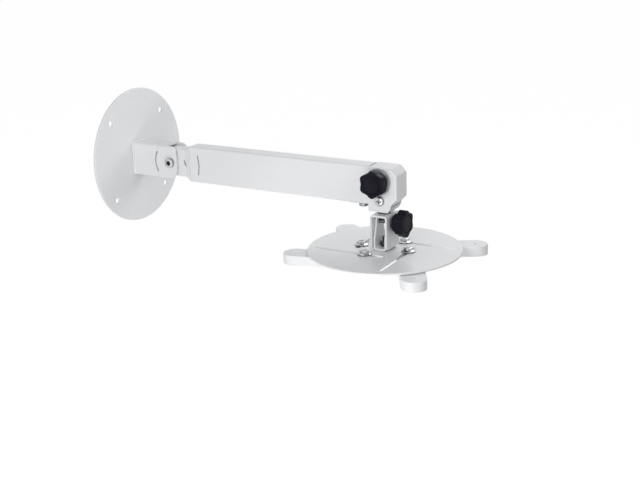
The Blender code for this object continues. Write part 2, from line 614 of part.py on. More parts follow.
def build_head():
    lower_z = hood_bottom + HOOD_LOWER_STEP
    foot_x = hood_end - HOOD_FACET
    side = [(hood_start, hood_bottom), (foot_x - HOOD_FOOT_TAPER, hood_bottom), (foot_x, lower_z - SHEET),
            (foot_x, lower_z), (hood_end, lower_z + HOOD_FACET), (hood_end, hood_top - HOOD_FACET),
            (foot_x, hood_top), (hood_start, hood_top)]
    hood = prism("head_bracket", [side], "y", -HOOD_HALF_WIDTH, HOOD_HALF_WIDTH, "head_axis", "powder_white",
                 bend=fold_hood_edges)
    slant = SHEET * math.tan(math.pi / 8)
    inside = HOOD_HALF_WIDTH - SHEET
    web_top = hood_bottom + SHEET
    before = hood_start - OVERSHOOT
    past = hood_end + OVERSHOOT
    cavity = [(before, web_top), (past, web_top), (past, lower_z - SHEET / 2),
              (foot_x - SHEET, lower_z - SHEET / 2),
              (foot_x - slant, lower_z + SHEET), (hood_end - SHEET, lower_z + HOOD_FACET + slant),
              (hood_end - SHEET, hood_top - HOOD_FACET - slant), (foot_x - slant, hood_top - SHEET),
              (before, hood_top - SHEET)]
    top_cut = rectangle(before, -inside, hood_start + HOOD_TOP_SET_BACK, inside)
    web_cut = rectangle(before, -inside, hood_start + HOOD_WEB_SET_BACK, inside)
    cross = (head_x + CROSS_BOLT_FORWARD, tilt_z - CROSS_BOLT_DROP)
    wide = HOOD_HALF_WIDTH + OVERSHOOT
    rivet_hole = circle(head_x, 0, RIVET_RADIUS + FIT_GAP)
    cut(hood, prism("hood_cavity", [cavity], "y", -inside, inside, "head_axis"),
        prism("hood_top_cut", [top_cut], "z", tilt_z, hood_top + OVERSHOOT, "head_axis"),
        prism("hood_web_cut", [web_cut], "z", hood_bottom - OVERSHOOT, web_top + OVERSHOOT, "head_axis"),
        prism("hood_holes", [circle(head_x, tilt_z, m8_hole), circle(*cross, m6_hole)], "y", -wide, wide,
              "head_axis"),
        prism("hood_rivet_hole", [rivet_hole], "z", hood_bottom - OVERSHOOT, web_top + OVERSHOOT,
              "head_axis"))

    low = inner_half_width + FIT_GAP
    high = HOOD_HALF_WIDTH - SHEET - FIT_GAP
    for name, ends in (("front", (-high, -low)), ("rear", (low, high))):
        washer("friction_washer_" + name, "y", head_x, tilt_z, *ends, friction_washer_radius, m8_hole,
               "head_axis", "nylon")
    face = HOOD_HALF_WIDTH + FIT_GAP
    hex_nut("tilt_nut", "y", head_x, tilt_z, face, face + M8_NUT_HEIGHT, M8_ACROSS_FLATS,
            M8_RADIUS + FIT_GAP, "head_axis", "bright_zinc")
    washer("tilt_knob_washer", "y", head_x, tilt_z, -face - KNOB_WASHER_THICKNESS, -face, KNOB_WASHER_RADIUS,
           m8_hole, "head_axis", "bright_zinc")
    headed_pin("cross_bolt", "y", *cross, -face - CROSS_HEAD_HEIGHT, -face,
               face + M6_NUT_HEIGHT + THREAD_PAST_NUT, CROSS_HEAD_RADIUS, M6_RADIUS, CROSS_HEAD_CROWN,
               "head_axis", "bright_zinc")
    hex_nut("cross_nut", "y", *cross, face, face + M6_NUT_HEIGHT, M6_ACROSS_FLATS, M6_RADIUS + FIT_GAP,
            "head_axis", "bright_zinc")


def build_yoke():
    section = [(head_x + u, v) for u, v in channel(YOKE_HALF_LENGTH, yoke_top, yoke_bottom)]
    yoke = prism("roll_yoke", [section], "y", -YOKE_HALF_WIDTH, YOKE_HALF_WIDTH, "head_axis", "powder_white")
    half = YOKE_HALF_WIDTH
    foot = YOKE_FOOT_ROUND
    over = half + OVERSHOOT
    side = [(over, yoke_top + OVERSHOOT), (-over, yoke_top + OVERSHOOT), (-over, yoke_bottom + foot),
            (-half, yoke_bottom + foot)]
    side += arc(foot - half, yoke_bottom + foot, foot, 180, 270, CORNER_STEPS)[1:]
    side += arc(half - foot, yoke_bottom + foot, foot, 270, 360, CORNER_STEPS)
    side += [(over, yoke_bottom + foot)]
    long = YOKE_HALF_LENGTH + OVERSHOOT
    ends = (head_x - long, head_x + long)
    combine(yoke, prism("yoke_side", [side], "x", *ends, "head_axis"), "INTERSECT")
    rivet_hole = circle(head_x, 0, RIVET_RADIUS + FIT_GAP)
    cut(yoke, prism("yoke_eyes", [circle(0, roll_z, m6_hole)], "x", *ends, "head_axis"),
        prism("yoke_rivet_hole", [rivet_hole], "z", yoke_top - SHEET - OVERSHOOT, yoke_top + OVERSHOOT,
              "head_axis"))
    washer("yoke_spacer", "z", head_x, 0, yoke_top + FIT_GAP, hood_bottom - FIT_GAP, SPACER_RADIUS,
           RIVET_RADIUS + FIT_GAP, "head_axis", "dark_steel")
    top = hood_bottom + SHEET + FIT_GAP
    low = yoke_top - SHEET - FIT_GAP
    slope = RIVET_HEAD_HEIGHT / 2
    crown = top + RIVET_HEAD_HEIGHT
    end = low - RIVET_HEAD_HEIGHT
    rivet = [(0, crown), (RIVET_TOP_RADIUS - slope, crown), (RIVET_TOP_RADIUS, top), (RIVET_RADIUS, top),
             (RIVET_RADIUS, low), (RIVET_LOW_RADIUS, low), (RIVET_LOW_RADIUS - slope, end), (0, end)]
    turned("yoke_rivet", rivet, "z", head_x, 0, "head_axis", "bright_zinc")
    face = YOKE_HALF_LENGTH + FIT_GAP
    washer("roll_knob_washer", "x", 0, roll_z, head_x + face, head_x + face + ROLL_WASHER_THICKNESS,
           ROLL_WASHER_RADIUS, m6_hole, "head_axis", "bright_zinc")
    hex_nut("roll_nut", "x", 0, roll_z, head_x - face - M6_NUT_HEIGHT, head_x - face, M6_ACROSS_FLATS,
            M6_RADIUS + FIT_GAP, "head_axis", "bright_zinc")


# Clamp knobs with their studs

def build_knobs():
    start = -HOOD_HALF_WIDTH - 2 * FIT_GAP - KNOB_WASHER_THICKNESS
    stud_end = start - KNOB_LENGTH + KNOB_SKIN
    clamp_knob("tilt_knob", "y", head_x, tilt_z, start, -1, M8_RADIUS + FIT_GAP, stud_end - FIT_GAP,
               "tilt_knob_axis")
    far = HOOD_HALF_WIDTH + FIT_GAP + M8_NUT_HEIGHT + THREAD_PAST_NUT
    stud = [(0, stud_end), (M8_RADIUS, stud_end), (M8_RADIUS, far), (0, far)]
    turned("tilt_stud", stud, "y", head_x, tilt_z, "tilt_knob_axis", "bright_zinc")

    face = YOKE_HALF_LENGTH + FIT_GAP
    start = head_x + face + ROLL_WASHER_THICKNESS + FIT_GAP
    stud_end = start + KNOB_LENGTH - KNOB_SKIN
    clamp_knob("roll_knob", "x", 0, roll_z, start, 1, M6_RADIUS + FIT_GAP, stud_end + FIT_GAP,
               "roll_knob_axis")
    far = head_x - face - M6_NUT_HEIGHT - THREAD_PAST_NUT
    stud = [(0, far), (M6_RADIUS, far), (M6_RADIUS, stud_end), (0, stud_end)]
    turned("roll_stud", stud, "x", 0, roll_z, "roll_knob_axis", "bright_zinc")


# Cradle that rolls in the yoke and carries the swivel bolt

def build_cradle():
    half_length = YOKE_HALF_LENGTH - SHEET - SLIDE_CLEARANCE
    eye = CRADLE_EYE_RADIUS
    section = [(head_x + u, v) for u, v in channel(half_length, cradle_bottom, roll_z + eye + OVERSHOOT)]
    over = CRADLE_HALF_WIDTH + OVERSHOOT
    cradle = prism("roll_cradle", [section], "y", -over, over, "cradle_axis", "powder_white")
    half = CRADLE_HALF_WIDTH
    shoulder = cradle_bottom + CRADLE_SHOULDER
    side = [(half, cradle_bottom - OVERSHOOT), (half, shoulder)]
    side += arc(0, roll_z, eye, -CRADLE_EYE_SPREAD, 180 + CRADLE_EYE_SPREAD, ROUND // 2)
    side += [(-half, shoulder), (-half, cradle_bottom - OVERSHOOT)]
    ends = (head_x - half_length - OVERSHOOT, head_x + half_length + OVERSHOOT)
    combine(cradle, prism("cradle_side", [side], "x", *ends, "cradle_axis"), "INTERSECT")
    cut(cradle, prism("cradle_eyes", [circle(0, roll_z, m6_hole)], "x", *ends, "cradle_axis"),
        prism("cradle_bolt_hole", [circle(head_x, 0, m6_hole)], "z", cradle_bottom - OVERSHOOT,
              cradle_bottom + SHEET + OVERSHOOT, "cradle_axis"))
    head_top = disc_bottom - FIT_GAP
    headed_pin("swivel_bolt", "z", head_x, 0, head_top - SWIVEL_HEAD_HEIGHT, head_top,
               cradle_bottom + SWIVEL_THREAD_UP, SWIVEL_HEAD_RADIUS, M6_RADIUS, SWIVEL_HEAD_CROWN,
               "cradle_axis", "dark_steel")
    low = cradle_bottom + SHEET + FIT_GAP
    high = low + SWIVEL_WASHER_THICKNESS
    washer("swivel_washer", "z", head_x, 0, low, high, SWIVEL_WASHER_RADIUS, m6_hole, "cradle_axis",
           "dark_steel")
    nut_low = high + FIT_GAP
    turn = [(head_x + v, u) for u, v in hexagon(0, 0, M6_ACROSS_FLATS)]
    nut = prism("swivel_nut", [turn], "z", nut_low, nut_low + M6_NUT_HEIGHT, "cradle_axis", "dark_steel")
    cut(nut, prism("swivel_nut_bore", [circle(head_x, 0, M6_RADIUS + FIT_GAP)], "z", nut_low - OVERSHOOT,
                   nut_low + M6_NUT_HEIGHT + OVERSHOOT, "cradle_axis"))


# Slotted disc

def outward(angle):
    return math.cos(math.radians(angle)), math.sin(math.radians(angle))


def on_slot(angle, along):
    # A place on the disc, on the slot that runs outward at this angle
    u, v = outward(angle)
    return u * along - v * SLOT_OFFSET, v * along + u * SLOT_OFFSET


def build_disc():
    disc = turned("spider_plate", disc_profile(DISC_RADIUS, disc_bottom, disc_top, DISC_RIM_ROUND),
                  "z", head_x, 0, "disc_axis", "powder_white", FINE)
    cuts = [circle(head_x, 0, m6_hole)]
    for angle, _, _ in STATIONS.values():
        inner = on_slot(angle, -SLOT_INNER_END)
        outer = on_slot(angle, slot_outer_end)
        cuts.append(capsule(head_x + inner[0], inner[1], head_x + outer[0], outer[1], m6_hole))
    cut(disc, prism("disc_slots", cuts, "z", disc_bottom - OVERSHOOT, disc_top + OVERSHOOT, "disc_axis"))


# Channel arms: a bolt and a flange nut clamp each one in its slot

def build_station(name, angle, along, turn):
    x, y = on_slot(angle, along)
    at = (head_x + x, y, arm_top)
    slider = add_body(f"slider_{name}_axis", "disc_axis", at)
    swing = add_body(f"arm_{name}_axis", slider, at, angle + turn)

    under = arm_top - ARM_SHEET - FIT_GAP
    base = disc_top + FIT_GAP
    nut_top = base + FLANGE_NUT_HEIGHT
    headed_pin(f"arm_bolt_{name}", "z", at[0], y, under - ARM_BOLT_HEAD_HEIGHT, under,
               nut_top + THREAD_PAST_NUT / 2, ARM_BOLT_HEAD_RADIUS, M6_RADIUS, ARM_BOLT_HEAD_CROWN,
               slider, "bright_zinc")
    rim = FLANGE_THICKNESS
    slope = rim + FLANGE_SLOPE
    waist = M6_ACROSS_FLATS / 2
    flange = [(0, base), (FLANGE_RADIUS, base), (FLANGE_RADIUS, base + rim), (waist, base + slope),
              (0, base + slope)]
    nut = turned(f"flange_nut_{name}", flange, "z", at[0], y, slider, "bright_zinc")
    head = prism(f"nut_hex_{name}", [hexagon(at[0], y, M6_ACROSS_FLATS)], "z", base + rim, nut_top, slider)
    combine(nut, head, "UNION")
    cut(nut, prism(f"nut_bore_{name}", [circle(at[0], y, M6_RADIUS + FIT_GAP)], "z", base - OVERSHOOT,
                   nut_top + OVERSHOOT, slider))

    def tray(inset):
        return capsule(0, 0, ARM_LENGTH, 0, ARM_HALF_WIDTH - inset, SMALL)

    edge = ARM_EDGE_ROUND
    knee = edge * EDGE_KNEE
    rings = [(tray(edge), 0), (tray(knee), -knee), (tray(0), -edge), (tray(0), -ARM_DEPTH),
             (tray(ARM_SHEET), -ARM_DEPTH), (tray(ARM_SHEET), -ARM_SHEET)]
    arm = loft(f"arm_{name}", rings, "z", swing, "powder_white", local=True)
    holes = [circle(0, 0, m6_hole), circle(ARM_LENGTH, 0, ARM_END_HOLE_RADIUS)]
    cut(arm, prism(f"arm_holes_{name}", holes, "z", -ARM_SHEET - OVERSHOOT, OVERSHOOT, swing, local=True))


def main():
    for leftover in list(bpy.data.objects):
        bpy.data.objects.remove(leftover)
    add_body("wall_axis", None, (0, 0, 0))
    add_body("arm_axis", "wall_axis", (PIVOT_X, 0, arm_z))
    add_body("extension_axis", "arm_axis", (TUBE_END_X, 0, arm_z))
    add_body("head_axis", "extension_axis", (head_x, 0, tilt_z))
    add_body("tilt_knob_axis", "head_axis", (head_x, 0, tilt_z))
    add_body("roll_knob_axis", "head_axis", (head_x, 0, roll_z))
    add_body("cradle_axis", "head_axis", (head_x, 0, roll_z))
    add_body("disc_axis", "cradle_axis", (head_x, 0, disc_top))
    build_wall()
    build_pivot()
    build_arm()
    build_extension()
    build_head()
    build_yoke()
    build_knobs()
    build_cradle()
    build_disc()
    for name, (angle, along, turn) in STATIONS.items():
        build_station(name, angle, along, turn)


main()
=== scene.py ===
import json
import math

import bmesh
import bpy
from mathutils import Matrix, Vector


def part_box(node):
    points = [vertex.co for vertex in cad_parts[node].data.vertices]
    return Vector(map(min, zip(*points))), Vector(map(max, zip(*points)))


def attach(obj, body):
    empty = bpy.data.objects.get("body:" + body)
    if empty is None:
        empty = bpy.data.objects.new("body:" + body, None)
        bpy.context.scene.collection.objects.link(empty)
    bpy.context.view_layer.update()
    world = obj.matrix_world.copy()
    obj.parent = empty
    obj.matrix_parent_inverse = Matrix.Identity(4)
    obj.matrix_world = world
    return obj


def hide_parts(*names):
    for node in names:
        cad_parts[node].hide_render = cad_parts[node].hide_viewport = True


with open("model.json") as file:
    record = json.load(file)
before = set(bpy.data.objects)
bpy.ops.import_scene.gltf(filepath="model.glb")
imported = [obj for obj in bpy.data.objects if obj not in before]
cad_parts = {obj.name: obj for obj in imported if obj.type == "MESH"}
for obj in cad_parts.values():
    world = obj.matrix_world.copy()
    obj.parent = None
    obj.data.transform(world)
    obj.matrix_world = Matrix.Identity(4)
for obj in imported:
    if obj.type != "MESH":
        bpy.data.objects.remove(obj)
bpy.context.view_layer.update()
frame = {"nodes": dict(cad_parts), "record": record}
nodes = frame["nodes"]
print("frame loaded:", len(nodes), "nodes")


# camera first: the angle the mount is seen from, in degrees and metres
view = {
    "azimuth": 30.81, "elevation": 17.632, "roll": -1.851, "distance": 1.4948,
    "target": (0.2989, 0.0, -0.0892), "focalPixels": 1126.0, "imageWidth": 640, "sensor": 36.0,
    "nearest": 0.02, "farthest": 80.0,
}


def addCamera():
    az, el, roll = (math.radians(view[key]) for key in ("azimuth", "elevation", "roll"))
    outward = Vector((math.sin(az) * math.cos(el), -math.cos(az) * math.cos(el), math.sin(el)))
    right = Vector((math.cos(az), math.sin(az), 0))
    up = right.cross(-outward)
    across = right * math.cos(roll) + up * math.sin(roll)
    upward = up * math.cos(roll) - right * math.sin(roll)
    turn = Matrix((across, upward, outward)).transposed().to_4x4()
    data = bpy.data.cameras.new("camera")
    data.sensor_fit = "HORIZONTAL"
    data.sensor_width = view["sensor"]
    data.lens = view["focalPixels"] / view["imageWidth"] * view["sensor"]
    data.clip_start, data.clip_end = view["nearest"], view["farthest"]
    camera = bpy.data.objects.new("camera", data)
    bpy.context.scene.collection.objects.link(camera)
    camera.matrix_world = Matrix.Translation(Vector(view["target"]) + outward * view["distance"]) @ turn
    bpy.context.scene.camera = camera


addCamera()


# shader sums: plain arithmetic on a Value adds its Math node
class Value:
    def __init__(self, finish, socket):
        self.finish, self.socket = finish, socket

    def join(self, operation, first, second):
        node = self.finish.add("ShaderNodeMath", {"operation": operation}, {0: first, 1: second})
        return Value(self.finish, node.outputs[0])

    def __add__(self, other):
        return self.join("ADD", self, other)

    def __sub__(self, other):
        return self.join("SUBTRACT", self, other)

    def __rsub__(self, other):
        return self.join("SUBTRACT", other, self)

    def __mul__(self, other):
        return self.join("MULTIPLY", self, other)

    def __pow__(self, other):
        return self.join("POWER", self, other)

    def __rpow__(self, other):
        return self.join("POWER", other, self)

    __radd__ = __add__
    __rmul__ = __mul__


class Finish:
    def __init__(self, name, constants):
        self.material = bpy.data.materials.new(name)
        self.material.use_nodes = True
        self.tree = self.material.node_tree
        self.shader = self.tree.nodes["Principled BSDF"]
        self.place = self.add("ShaderNodeTexCoord").outputs["Object"]
        for socket, value in constants.items():
            self.shader.inputs[socket].default_value = value

    def add(self, kind, settings=None, sockets=None):
        node = self.tree.nodes.new(kind)
        for key, value in (settings or {}).items():
            if key == "stops":
                for spot, (at, grey) in zip(node.color_ramp.elements, value):
                    spot.position, spot.color = at, (grey, grey, grey, 1)
            else:
                setattr(node, key, value)
        for key, value in (sockets or {}).items():
            self.feed(node.inputs[key], value)
        return node

    def feed(self, target, value):
        if isinstance(value, Value):
            value = value.socket
        if isinstance(value, bpy.types.NodeSocket):
            self.tree.links.new(value, target)
        else:
            target.default_value = value

    def noise(self, scale, detail=2.0, stretch=None):
        where = self.place
        if stretch:
            where = self.add("ShaderNodeMapping", None, {"Vector": where, "Scale": stretch}).outputs[0]
        node = self.add("ShaderNodeTexNoise", None, {"Vector": where, "Scale": scale, "Detail": detail})
        return Value(self, node.outputs[0])

    def ramp(self, value, low, high):
        node = self.add("ShaderNodeValToRGB", {"stops": ((low, 0.0), (high, 1.0))}, {"Fac": value})
        return Value(self, node.outputs[0])

    def open(self, reach):
        # 1 on open surfaces, lower in creases and under heads
        node = self.add("ShaderNodeAmbientOcclusion", {"samples": 6}, {"Distance": reach})
        return Value(self, node.outputs["AO"])

    def rounded(self, radius):
        # the surface's normal as if its edges were rounded
        return self.add("ShaderNodeBevel", {"samples": 4}, {"Radius": radius}).outputs[0]

    def edges(self, radius):
        # 0 on flats, rising where the rounded normal leaves the flat one
        soft = self.rounded(radius)
        flat = self.add("ShaderNodeNewGeometry").outputs["Normal"]
        node = self.add("ShaderNodeVectorMath", {"operation": "DOT_PRODUCT"}, {0: soft, 1: flat})
        return 1 - Value(self, node.outputs["Value"])

    def mixed(self, share, first, second):
        # a colour between two, each a tuple or a socket
        first, second = ((*color, 1) if isinstance(color, tuple) else color for color in (first, second))
        node = self.add("ShaderNodeMix", {"data_type": "RGBA"}, {"Factor": share, 6: first, 7: second})
        return node.outputs[2]

    def tint(self, share, first, second):
        self.feed(self.shader.inputs["Base Color"], self.mixed(share, first, second))

    def rough(self, value):
        self.feed(self.shader.inputs["Roughness"], value)

    def relief(self, height, depth, edge):
        # surface relief over softly rounded edges
        sockets = {"Height": height, "Distance": depth, "Strength": 1.0, "Normal": self.rounded(edge)}
        self.feed(self.shader.inputs["Normal"], self.add("ShaderNodeBump", None, sockets).outputs[0])


# white powder coat: orange peel, painted shade in creases and a painted highlight along bends
coatLook = {
    "constants": {"IOR": 1.5, "Specular IOR Level": 0.24, "Coat Roughness": 0.08, "Coat Weight": 0.14},
    "driftScale": 9.0, "peelScale": 620.0, "fineScale": 2400.0,
    # crease settings paint shade into the colour in creases; bend settings paint a highlight along bends
    "creaseReach": 0.003, "creaseSpread": (0.1, 0.8), "creaseShadeWeight": 0.6,
    "driftSpread": (0.35, 0.7), "driftGrime": 0.05,
    "bendRadius": 0.0014, "bendSpread": (0.003, 0.09),
    # the coat's own white, the painted shade colour (also the dark end of the random mottle), the painted
    # highlight colour
    "coatColor": (0.80, 0.81, 0.825), "shadeAndMottleColor": (0.30, 0.31, 0.33), "bend": (0.97, 0.975, 0.98),
    "rough": 0.26, "driftRough": 0.10, "fineRough": 0.04, "peelRough": 0.03,
    "fineHeight": 0.35, "depth": 0.00003, "edge": 0.0009,
}


def powderCoat():
    look = coatLook
    coat = Finish("powderCoat", look["constants"])
    drift, peel, fine = (coat.noise(look[key]) for key in ("driftScale", "peelScale", "fineScale"))
    # painted shade: darker colour in creases and between parts, from an occlusion mask; the drift adds a
    # faint random mottle
    creaseShade = 1 - coat.ramp(coat.open(look["creaseReach"]), *look["creaseSpread"])
    shadeAndMottle = creaseShade * look["creaseShadeWeight"] + coat.ramp(drift, *look["driftSpread"]) * look["driftGrime"]
    # painted highlight: a lighter colour along bends and rounded edges
    bend = coat.ramp(coat.edges(look["bendRadius"]), *look["bendSpread"])
    coat.tint(bend, coat.mixed(shadeAndMottle, look["coatColor"], look["shadeAndMottleColor"]), look["bend"])
    rough = look["rough"] + drift * look["driftRough"] + fine * look["fineRough"]
    coat.rough(rough - peel * look["peelRough"])
    coat.relief(peel + fine * look["fineHeight"], look["depth"], look["edge"])
    return coat.material


# plated fasteners: bright where open, painted shade under heads and in threads
zincLook = {
    "constants": {"Metallic": 1.0}, "spangle": (420.0, 3.0), "brush": (900.0, 2.0, (1.0, 1.0, 0.12)),
    "spangleSpread": (0.3, 0.75), "spangleShare": 0.3, "openReach": 0.006, "openSpread": (0.4, 0.97),
    "openShare": 0.7, "contrast": 1.4, "dark": (0.035, 0.036, 0.04), "light": (0.74, 0.75, 0.77),
    "rough": 0.12, "spangleRough": 0.14, "depth": 0.00001, "edge": 0.0002,
}


def brightZinc():
    look = zincLook
    zinc = Finish("brightZinc", look["constants"])
    spangle, brush = zinc.noise(*look["spangle"]), zinc.noise(*look["brush"])
    # painted shade: darker colour under heads and in threads from an occlusion mask, mixed with the zinc's
    # own spangle
    spangleAndShade = (zinc.ramp(spangle, *look["spangleSpread"]) * look["spangleShare"]
             + zinc.ramp(zinc.open(look["openReach"]), *look["openSpread"]) * look["openShare"])
    zinc.tint(spangleAndShade ** look["contrast"], look["dark"], look["light"])
    zinc.rough(look["rough"] + spangle * look["spangleRough"])
    zinc.relief(brush, look["depth"], look["edge"])
    return zinc.material


# plain finishes: a cloud between two colours and a fine grain, each with its scale and detail
plainLooks = {
    "blackPlastic": {
        "constants": {"IOR": 1.33, "Specular IOR Level": 0.08}, "cloud": (60.0, 2.0), "grain": (2600.0, 3.0),
        "spread": (0.35, 0.7), "dark": (0.009, 0.0085, 0.013), "light": (0.018, 0.0165, 0.026),
        "rough": 0.26, "cloudRough": 0.12, "grainRough": 0.10, "depth": 0.00004, "edge": 0.0003,
    },
    "dullZinc": {
        "constants": {"Metallic": 1.0}, "cloud": (260.0, 4.0), "grain": (1300.0, 2.0),
        "spread": (0.3, 0.75), "contrast": 0.8, "dark": (0.25, 0.26, 0.27), "light": (0.40, 0.41, 0.425),
        "rough": 0.34, "cloudRough": 0.12, "grainRough": 0.05, "depth": 0.00001, "edge": 0.0002,
    },
    "darkSteel": {
        "constants": {"Metallic": 1.0}, "cloud": (300.0, 4.0), "grain": (1500.0, 2.0),
        "spread": (0.3, 0.75), "dark": (0.07, 0.07, 0.075), "light": (0.17, 0.17, 0.175),
        "rough": 0.26, "cloudRough": 0.2, "grainRough": 0.05, "depth": 0.00001, "edge": 0.0002,
    },
    "naturalNylon": {
        "constants": {"IOR": 1.5}, "cloud": (80.0, 2.0), "grain": (1800.0, 2.0),
        "dark": (0.70, 0.69, 0.64), "light": (0.78, 0.77, 0.73),
        "rough": 0.42, "grainRough": 0.12, "depth": 0.00002, "edge": 0.0002,
    },
    # grey for the cheek ring: partly its own tone, partly the tilt knob's painted shadow
    "shadowGreyNylon": {
        "constants": {"IOR": 1.45, "Specular IOR Level": 0.3}, "cloud": (120.0, 2.0), "grain": (1800.0, 2.0),
        "dark": (0.34, 0.36, 0.37), "light": (0.42, 0.44, 0.45),
        "rough": 0.40, "grainRough": 0.12, "depth": 0.00002, "edge": 0.0003,
    },
}


def plainFinish(name):
    look = plainLooks[name]
    finish = Finish(name, look["constants"])
    cloud, grain = finish.noise(*look["cloud"]), finish.noise(*look["grain"])
    share = finish.ramp(cloud, *look["spread"]) if "spread" in look else cloud
    if "contrast" in look:
        share = share ** look["contrast"]
    finish.tint(share, look["dark"], look["light"])
    rough = look["rough"] + grain * look["grainRough"]
    if "cloudRough" in look:
        rough = rough + cloud * look["cloudRough"]
    finish.rough(rough)
    finish.relief(grain, look["depth"], look["edge"])
    return finish.material


# a finish for each material slot, and two for pieces that look duller than their slot, the grey one partly
# the tilt knob's painted shadow
finishes = {
    "powder_white": powderCoat(), "bright_zinc": brightZinc(), "black_plastic": plainFinish("blackPlastic"),
    "dark_steel": plainFinish("darkSteel"), "nylon": plainFinish("naturalNylon"),
    "dull_zinc": plainFinish("dullZinc"), "shadow_grey_nylon": plainFinish("shadowGreyNylon"),
}
for part in frame["record"]["subparts"]:
    mesh = nodes[part["node"]].data
    mesh.materials.clear()
    mesh.materials.append(finishes[part["material_slot"]])
print("finishes ready")


# modelling helpers
sharpFrom = {"bevel": 35, "shade": 32}  # degrees between two faces that make their edge sharp
mergeGap = {"cut": 2e-6, "bevel": 2e-7}  # points closer than this after a cut or a bevel are one
cutPast = 0.002  # how far a cutting tool reaches past the piece
alongX, alongY, alongZ = (1, 0, 0), (0, 1, 0), (0, 0, 1)
againstX, againstY = (-1, 0, 0), (0, -1, 0)


def deselect():
    bpy.ops.object.select_all(action="DESELECT")


def pick(piece):
    deselect()
    piece.select_set(True)
    bpy.context.view_layer.objects.active = piece


def newest(name):
    piece = bpy.context.active_object
    piece.name = name
    return piece


def startEdit(kind="VERT"):
    bpy.ops.object.mode_set(mode="EDIT")
    bpy.ops.mesh.select_mode(type=kind)
    bpy.ops.mesh.select_all(action="SELECT")


def closeEdit():
    bpy.ops.object.mode_set(mode="OBJECT")


def settle():
    # the active piece keeps its place and size in its mesh
    bpy.ops.object.transform_apply(location=True, rotation=True, scale=True)


def discard(piece):
    bpy.data.objects.remove(piece)


def mend(piece, gap):
    # merge points that lie too close, then turn every face outward
    pick(piece)
    startEdit()
    bpy.ops.mesh.remove_doubles(threshold=gap)
    bpy.ops.mesh.dissolve_degenerate(threshold=gap / 2)
    bpy.ops.mesh.normals_make_consistent(inside=False)
    closeEdit()


def cylinder(name, radius, low, high, sides):
    deselect()
    bpy.ops.mesh.primitive_cylinder_add(vertices=sides, radius=radius, depth=high - low,
                                        location=(0, 0, (low + high) / 2))
    piece = newest(name)
    settle()
    return piece


def carve(piece, tool, how="DIFFERENCE"):
    pick(piece)
    step = piece.modifiers.new("carve", "BOOLEAN")
    step.operation, step.object, step.solver = how, tool, "EXACT"
    bpy.ops.object.modifier_apply(modifier=step.name)
    discard(tool)
    mend(piece, mergeGap["cut"])


def soften(piece, width, segments):
    pick(piece)
    step = piece.modifiers.new("soften", "BEVEL")
    step.width, step.segments, step.limit_method = width, segments, "ANGLE"
    step.angle_limit = math.radians(sharpFrom["bevel"])
    bpy.ops.object.modifier_apply(modifier=step.name)
    mend(piece, mergeGap["bevel"])


def spun(name, profile, steps):
    # a line drawn point by point through (radius, height), then spun round Z
    deselect()
    bpy.ops.mesh.primitive_plane_add(size=1, location=(0, 0, 0))
    piece = newest(name)
    startEdit()
    bpy.ops.mesh.merge(type="CENTER")
    at = Vector((0, 0, 0))
    for i, (radius, height) in enumerate(profile):
        to = Vector((radius, 0, height))
        if i:
            bpy.ops.mesh.extrude_region_move(TRANSFORM_OT_translate={"value": to - at})
        else:
            bpy.ops.transform.translate(value=to)
        at = to
    bpy.ops.mesh.select_all(action="SELECT")
    bpy.ops.mesh.spin(steps=steps, angle=2 * math.pi, center=(0, 0, 0), axis=alongZ)
    closeEdit()
    mend(piece, mergeGap["cut"])
    return piece


def loft(name, sides, rings):
    # a disc extruded ring by ring, each ring moved to its own height and outline
    deselect()
    bpy.ops.mesh.primitive_circle_add(vertices=sides, radius=1, fill_type="NGON")
    piece = newest(name)
    startEdit("FACE")
    for i, (height, outline) in enumerate(rings):
        if i:
            bpy.ops.mesh.extrude_region_move()
        form = bmesh.from_edit_mesh(piece.data)
        for vert in {vert for face in form.faces if face.select for vert in face.verts}:
            angle = math.atan2(vert.co.y, vert.co.x)
            reach = outline(angle)
            vert.co = (reach * math.cos(angle), reach * math.sin(angle), height)
        bmesh.update_edit_mesh(piece.data)
    closeEdit()
    mend(piece, mergeGap["bevel"])
    return piece


def middle(node):
    low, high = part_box(node)
    return (low + high) / 2


def span(node, toward):
    # where an axis enters a solid's box, the box's length along it and half its width across
    low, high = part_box(node)
    axis = [abs(part) for part in toward].index(1)
    at = middle(node)
    at[axis] = low[axis] if toward[axis] > 0 else high[axis]
    size = high - low
    return at, size[axis], (size.x if axis == 2 else size.z) / 2


def placed(form, name, toward, at, spin=0):
    # a copy of a form made along Z, spun on its axis, turned to face an axis and moved to its seat
    copy = bpy.data.objects.new(name, form.data.copy())
    bpy.context.scene.collection.objects.link(copy)
    turn = Vector(alongZ).rotation_difference(Vector(toward)).to_matrix().to_4x4()
    copy.matrix_world = Matrix.Translation(at) @ turn @ Matrix.Rotation(math.radians(spin), 4, "Z")
    pick(copy)
    settle()
    return copy


def seat(piece, body, slot, *stands, finish=None):
    # smooth, dress and hang a finished piece on its body
    pick(piece)
    bpy.ops.object.shade_smooth_by_angle(angle=math.radians(sharpFrom["shade"]))
    piece.data.materials.clear()
    piece.data.materials.append(finishes[finish or slot])
    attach(piece, body)
    if stands:
        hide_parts(*stands)


# clamp knobs: a six-lobed grip on a round hub, with an inset cap
knob = {
    "radius": 0.0177, "length": 0.0173, "hubRadius": 0.0118, "hubLength": 0.0055, "sides": 192,
    "flutes": 6, "fluteDepth": 0.0026, "fluteSharpness": 0.9, "edge": 0.0011, "edgeSteps": 4,
    "capRadius": 0.0108, "capGroove": 0.0012, "capDrop": 0.0010, "capEdge": 0.0004, "capSink": 0.0002,
    "rollSpin": 30,
}


def quarterTurn(steps):
    return [math.pi / 2 * i / steps for i in range(steps + 1)]


def roundRing(radius):
    return lambda angle: radius


def lobedRing(inward):
    # the grip's outline, drawn in by a margin
    def reach(angle):
        dip = (0.5 + 0.5 * math.cos(knob["flutes"] * angle)) ** knob["fluteSharpness"]
        return knob["radius"] - inward - knob["fluteDepth"] * dip
    return reach


